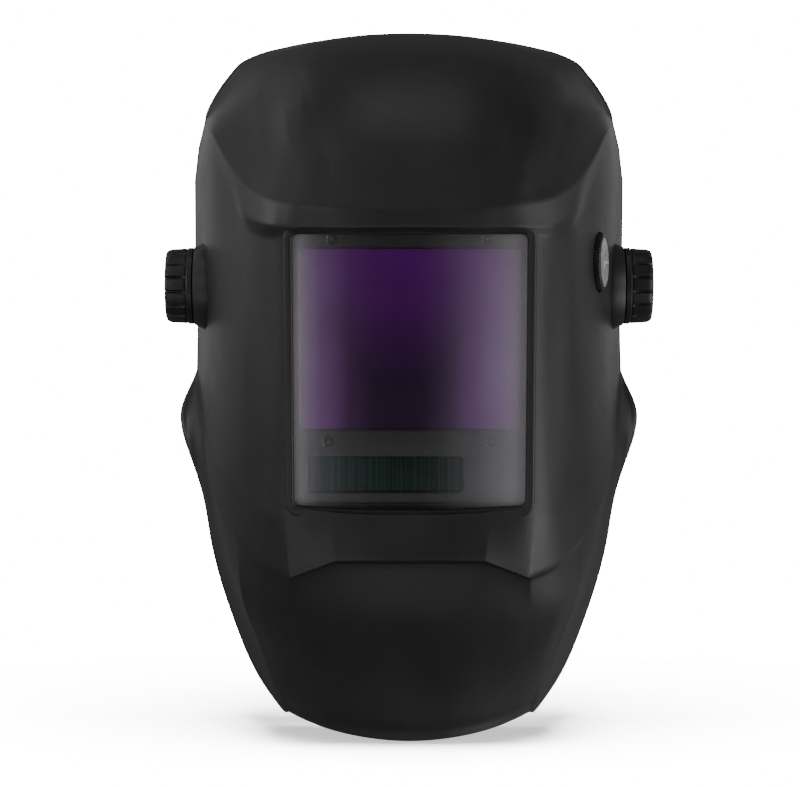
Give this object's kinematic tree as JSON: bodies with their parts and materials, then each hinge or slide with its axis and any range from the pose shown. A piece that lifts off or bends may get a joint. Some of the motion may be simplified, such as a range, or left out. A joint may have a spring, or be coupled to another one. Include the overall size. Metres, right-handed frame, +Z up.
{
  "type": "welding helmet",
  "caption": "Auto-darkening welding helmet: moulded shell with filter cartridge and shade knob, tilting on an adjustable head harness.",
  "frame": {"origin": "middle of the tilt axis, which is also the middle of the wearer's head at the temples", "axes": "-Y is the way the wearer faces, +X is the wearer's left and lies along the tilt axis, +Z is up"},
  "size_m": [0.2474, 0.2835, 0.351],
  "materials": {
    "shell_plastic": "satin moulded nylon, black",
    "clear_polycarbonate": "clear, polished",
    "gasket_rubber": "matt",
    "case_plastic": "fine grained, dark grey",
    "rear_case_plastic": "fine grained, black",
    "filter_glass": "coated, violet reflection",
    "lcd_glass": "dark, polished",
    "polariser": "thin dark film",
    "solar_silicon": "dark green cells with fine lines",
    "sensor_dome": "black dome",
    "board": "green solder mask",
    "knob_plastic": "satin, black",
    "dial_face": "brushed, with plain marks",
    "grey_plastic": "satin, grey",
    "red_plastic": "glossy, red",
    "steel": "zinc plated",
    "coin_steel": "polished can",
    "harness_nylon": "flexible nylon, black",
    "sweat_fabric": "padded towelling, dark grey",
    "cable_pvc": "satin"
  },
  "bodies": {
    "headgear": {"headband": "harness_nylon", "sweatband": "sweat_fabric", "crown_strap_left": "harness_nylon", "crown_strap_right": "harness_nylon", "slide_rail_left": "harness_nylon", "slide_rail_right": "harness_nylon", "harness_rivets": "steel", "nape_strap_left": "harness_nylon", "nape_strap_right": "harness_nylon"},
    "carriages": {"slider_block_left": "harness_nylon", "slider_block_right": "harness_nylon", "pivot_bolt_left": "steel", "pivot_bolt_right": "steel", "tilt_stop_left": "harness_nylon", "tilt_stop_right": "harness_nylon", "inner_washer_left": "grey_plastic", "inner_washer_right": "grey_plastic", "outer_washer_left": "grey_plastic", "outer_washer_right": "grey_plastic"},
    "shell": {"helmet_shell": "shell_plastic", "front_cover_lens": "clear_polycarbonate", "cover_lens_gasket": "gasket_rubber", "filter_case_front": "case_plastic", "filter_case_rear": "rear_case_plastic", "filter_case_screws": "steel", "interference_filter": "filter_glass", "lcd_shutter_front": "lcd_glass", "lcd_shutter_rear": "lcd_glass", "polariser_film": "polariser", "solar_cell": "solar_silicon", "arc_sensors": "sensor_dome", "circuit_board": "board", "inner_cover_lens": "clear_polycarbonate", "filter_retainer": "rear_case_plastic", "latch_screws": "steel", "battery_contacts": "steel", "shade_potentiometer": "grey_plastic", "shade_lock_nut": "steel", "shade_cable": "cable_pvc", "test_button_spring": "steel"},
    "tension_knob_left": {"tension_knob_left": "knob_plastic"},
    "tension_knob_right": {"tension_knob_right": "knob_plastic"},
    "shade_knob": {"shade_knob": "knob_plastic", "shade_knob_face": "dial_face", "shade_shaft": "steel"},
    "sensitivity_knob": {"sensitivity_knob": "grey_plastic"},
    "delay_knob": {"delay_knob": "grey_plastic"},
    "test_button": {"test_button": "red_plastic"},
    "battery_drawer": {"battery_drawer": "rear_case_plastic", "coin_cell": "coin_steel"},
    "filter_latch_left": {"filter_latch_left": "grey_plastic"},
    "filter_latch_right": {"filter_latch_right": "grey_plastic"},
    "ratchet_case": {"ratchet_case": "harness_nylon", "ratchet_cover": "grey_plastic", "nape_pad": "sweat_fabric"},
    "ratchet_knob": {"ratchet_knob": "knob_plastic", "ratchet_pinion": "grey_plastic"},
    "rack_left": {"rack_strap_left": "harness_nylon"},
    "rack_right": {"rack_strap_right": "harness_nylon"}
  },
  "joints": [
    {"name": "depth_slide", "type": "slide", "parent": "headgear", "child": "carriages", "axis": [0, 1, 0], "range_m": [-0.01, 0.01]},
    {"name": "shell_tilt", "type": "hinge", "parent": "carriages", "child": "shell", "pos_m": [0, 0, 0], "axis": [-1, 0, 0], "range_deg": [0, 80]},
    {"name": "left_knob_turn", "type": "hinge", "parent": "carriages", "child": "tension_knob_left", "pos_m": [0.117, 0, 0], "axis": [1, 0, 0], "range_deg": [0, 360]},
    {"name": "right_knob_turn", "type": "hinge", "parent": "carriages", "child": "tension_knob_right", "pos_m": [-0.117, 0, 0], "axis": [-1, 0, 0], "range_deg": [0, 360]},
    {"name": "shade_knob_turn", "type": "hinge", "parent": "shell", "child": "shade_knob", "pos_m": [0.0903, -0.064, 0.009], "axis": [0.9724, -0.2334, 0], "range_deg": [-135, 135]},
    {"name": "sensitivity_turn", "type": "hinge", "parent": "shell", "child": "sensitivity_knob", "pos_m": [-0.038, -0.09896, -0.08889], "axis": [0, 0.9816, 0.1908], "range_deg": [-135, 135]},
    {"name": "delay_turn", "type": "hinge", "parent": "shell", "child": "delay_knob", "pos_m": [-0.016, -0.09896, -0.08889], "axis": [0, 0.9816, 0.1908], "range_deg": [-135, 135]},
    {"name": "test_button_press", "type": "slide", "parent": "shell", "child": "test_button", "axis": [0, -0.9816, -0.1908], "range_m": [0, 0.0015], "stiffness_N_per_m": 400, "deforming": ["test_button_spring"]},
    {"name": "battery_drawer_slide", "type": "slide", "parent": "shell", "child": "battery_drawer", "axis": [0, 0.1908, -0.9816], "range_m": [0, 0.02]},
    {"name": "left_latch_turn", "type": "hinge", "parent": "shell", "child": "filter_latch_left", "pos_m": [0.04, -0.12643, 0.02883], "axis": [0, -0.9816, -0.1908], "range_deg": [0, 90]},
    {"name": "right_latch_turn", "type": "hinge", "parent": "shell", "child": "filter_latch_right", "pos_m": [-0.04, -0.12643, 0.02883], "axis": [0, 0.9816, 0.1908], "range_deg": [0, 90]},
    {"name": "ratchet_case_slide", "type": "slide", "parent": "headgear", "child": "ratchet_case", "axis": [0, 0.9511, -0.309], "range_m": [-0.0062, 0.0062]},
    {"name": "ratchet_knob_turn", "type": "hinge", "parent": "ratchet_case", "child": "ratchet_knob", "pos_m": [0, 0.11413, -0.03708], "axis": [0, -0.9511, 0.309], "range_deg": [-95, 95]},
    {"name": "rack_left_slide", "type": "slide", "parent": "headgear", "child": "rack_left", "axis": [0.8632, 0.4801, -0.156], "range_m": [-0.0118, 0.0118], "deforming": ["nape_strap_left"]},
    {"name": "rack_right_slide", "type": "slide", "parent": "headgear", "child": "rack_right", "axis": [-0.8632, 0.4801, -0.156], "range_m": [-0.0118, 0.0118], "deforming": ["nape_strap_right"]}
  ],
  "couplings": [
    {"joint": "rack_left_slide", "follows": "ratchet_knob_turn", "m_per_rad": -0.0069506},
    {"joint": "rack_right_slide", "follows": "ratchet_knob_turn", "m_per_rad": -0.0069506},
    {"joint": "ratchet_case_slide", "follows": "ratchet_knob_turn", "m_per_rad": -0.0035087}
  ]
}
